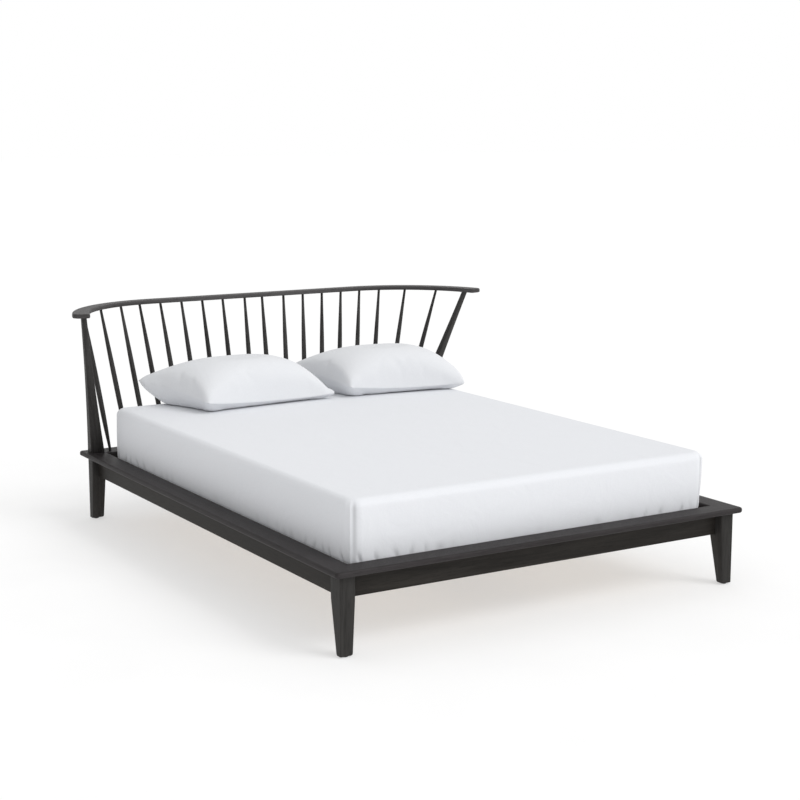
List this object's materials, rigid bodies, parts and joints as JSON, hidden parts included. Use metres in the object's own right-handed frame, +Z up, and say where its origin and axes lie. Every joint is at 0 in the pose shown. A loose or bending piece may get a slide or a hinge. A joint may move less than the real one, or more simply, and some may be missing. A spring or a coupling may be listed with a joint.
{
  "type": "bed",
  "caption": "Low platform bed with tapered legs, a flat cap frame, a wrap-around spindle headboard, a slatted deck, a mattress in a fitted sheet and pillows.",
  "frame": {"origin": "on the floor, below the middle of the whole bed's box", "axes": "+X to the right seen from the foot, +Y from the foot towards the headboard, +Z up"},
  "size_m": [1.9888, 2.329, 0.931],
  "materials": {
    "dark_wood": "dark brown-black stain under satin lacquer",
    "hidden_wood": "stained hardwood, matt",
    "slat_wood": "planed softwood, bare",
    "steel": "zinc plated",
    "glide_plastic": "moulded nylon",
    "webbing": "woven strap",
    "mattress_fabric": "knitted ticking over springs and foam",
    "sheet_cotton": "plain woven white cotton",
    "pillow_filling": "fibre filling in a cotton shell",
    "pillow_cotton": "plain woven white cotton"
  },
  "bodies": {
    "frame": {"cap_foot": "dark_wood", "cap_head": "dark_wood", "cap_left": "dark_wood", "cap_right": "dark_wood", "apron_foot": "dark_wood", "apron_head": "dark_wood", "apron_left": "dark_wood", "apron_right": "dark_wood", "leg_foot_left": "dark_wood", "leg_foot_right": "dark_wood", "leg_head_left": "dark_wood", "leg_head_right": "dark_wood", "post_left": "dark_wood", "post_right": "dark_wood", "crest_rail": "dark_wood", "spindle_01": "dark_wood", "spindle_02": "dark_wood", "spindle_03": "dark_wood", "spindle_04": "dark_wood", "spindle_05": "dark_wood", "spindle_06": "dark_wood", "spindle_07": "dark_wood", "spindle_08": "dark_wood", "spindle_09": "dark_wood", "spindle_10": "dark_wood", "spindle_11": "dark_wood", "spindle_12": "dark_wood", "spindle_13": "dark_wood", "spindle_14": "dark_wood", "spindle_15": "dark_wood", "spindle_16": "dark_wood", "spindle_17": "dark_wood", "spindle_18": "dark_wood", "corner_blocks": "hidden_wood", "cleat_left": "hidden_wood", "cleat_right": "hidden_wood", "centre_beam": "hidden_wood", "centre_leg_foot": "hidden_wood", "centre_leg_head": "hidden_wood", "slats": "slat_wood", "corner_bolts": "steel", "corner_washers": "steel", "corner_nuts": "steel", "beam_hangers": "steel", "centre_leg_studs": "steel", "leg_glides": "glide_plastic", "slat_straps": "webbing"},
    "mattress": {"mattress": "mattress_fabric", "fitted_sheet": "sheet_cotton"},
    "pillow_left": {"pillow_left": "pillow_filling", "pillowcase_left": "pillow_cotton"},
    "pillow_right": {"pillow_right": "pillow_filling", "pillowcase_right": "pillow_cotton"}
  },
  "joints": [
    {"name": "mattress_lift", "type": "slide", "parent": "frame", "child": "mattress", "axis": [0, 0, 1], "range_m": [0, 0.3]},
    {"name": "pillow_left_lift", "type": "slide", "parent": "mattress", "child": "pillow_left", "axis": [0, 0, 1], "range_m": [0, 0.25]},
    {"name": "pillow_right_lift", "type": "slide", "parent": "mattress", "child": "pillow_right", "axis": [0, 0, 1], "range_m": [0, 0.25]}
  ]
}
